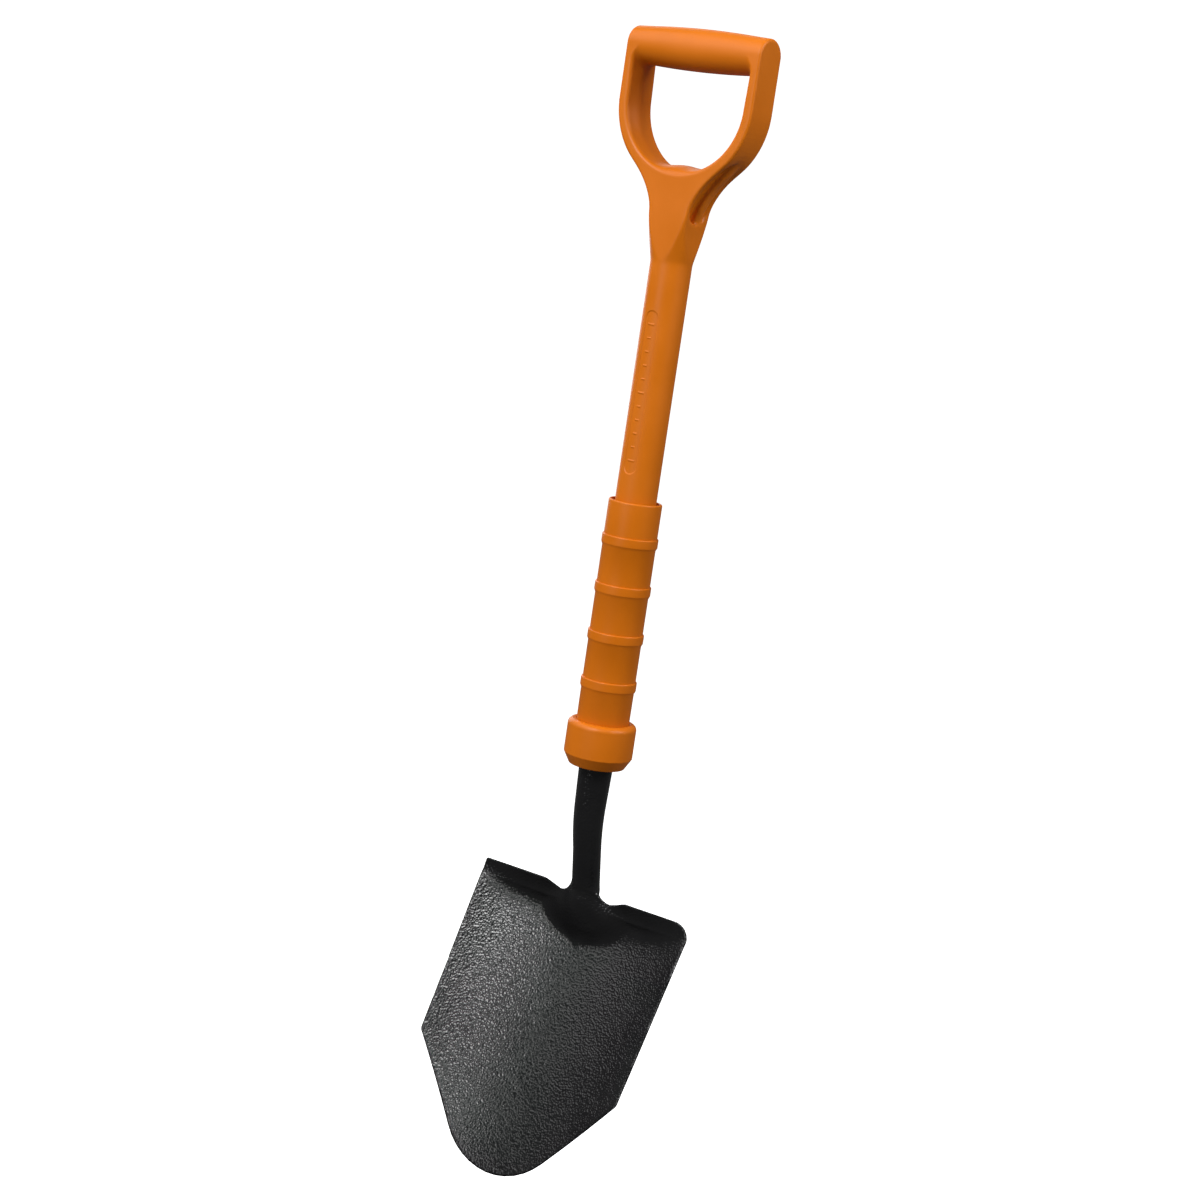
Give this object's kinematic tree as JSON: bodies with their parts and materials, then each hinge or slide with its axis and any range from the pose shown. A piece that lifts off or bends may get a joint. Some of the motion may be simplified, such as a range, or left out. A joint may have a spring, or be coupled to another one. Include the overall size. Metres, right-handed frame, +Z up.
{
  "type": "digging shovel",
  "caption": "Short round-point digging shovel: dished black steel blade with foot treads, insulated orange shaft with D-grip and ribbed guard sleeve.",
  "frame": {"origin": "middle of the hand bar, on the shaft's axis", "axes": "+Z up the shaft from the blade towards the grip; -Y is the digging side; +X is to the right seen from the digging side"},
  "size_m": [0.2371, 0.1169, 1.0516],
  "materials": {
    "orange_polymer": "semi-matte moulded orange plastic",
    "black_steel": "black hammer-finish powder coat on forged steel",
    "fibreglass": "resin-bonded glass fibre rod",
    "rivet_steel": "plain zinc-plated steel",
    "seal_rubber": "matt black sealing rubber"
  },
  "bodies": {
    "root": {"d_grip": "orange_polymer", "shaft_jacket": "orange_polymer", "shaft_core": "fibreglass", "blade_head": "black_steel", "rivet_upper": "rivet_steel", "rivet_lower": "rivet_steel", "guard_sleeve": "orange_polymer", "guard_collar": "orange_polymer", "neck_seal": "seal_rubber", "sleeve_spacer": "seal_rubber"}
  },
  "joints": []
}
